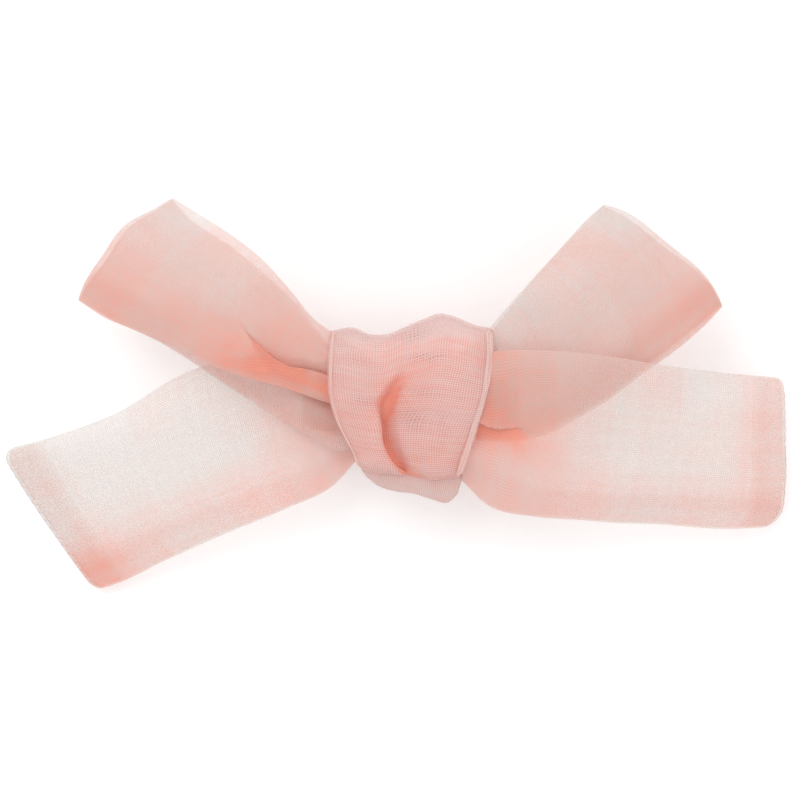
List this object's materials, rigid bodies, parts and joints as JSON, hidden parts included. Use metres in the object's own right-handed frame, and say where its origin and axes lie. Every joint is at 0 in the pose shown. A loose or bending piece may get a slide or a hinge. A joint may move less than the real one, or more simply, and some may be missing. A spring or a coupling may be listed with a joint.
{
  "type": "hair bow",
  "caption": "Hand-tied hair bow of sheer double ribbon with two hollow loops, two tails and a wrapped knot, on a small sprung alligator clip.",
  "frame": {"origin": "centre of the flat underside of the clip's lower jaw, below the knot", "axes": "+Z out of the bow's face, +X along its width towards the right tail, +Y towards the two loops"},
  "size_m": [0.1262, 0.0624, 0.0199],
  "materials": {
    "organza": "sheer crisp weave",
    "organza_folded": "sheer crisp weave, many layers",
    "thread": "matt",
    "nickel_steel": "bright",
    "spring_steel": "satin",
    "glue": "gloss"
  },
  "bodies": {
    "bow": {"left_loop": "organza", "right_loop": "organza", "left_tail": "organza", "right_tail": "organza", "knot_wrap": "organza_folded", "knot_core": "organza_folded", "left_end_stitches": "thread", "right_end_stitches": "thread", "glue_dab": "glue", "clip_top_jaw": "nickel_steel", "clip_pin": "nickel_steel", "clip_spring": "spring_steel"},
    "lower_jaw": {"clip_bottom_jaw": "nickel_steel"}
  },
  "joints": [
    {"name": "clip_hinge", "type": "hinge", "parent": "bow", "child": "lower_jaw", "pos_m": [-0.006, 0, 0.003], "axis": [0, 1, 0], "range_deg": [0, 21], "stiffness_Nm_per_rad": 0.035, "springref_deg": -51.57, "deforming": ["clip_spring"]}
  ]
}
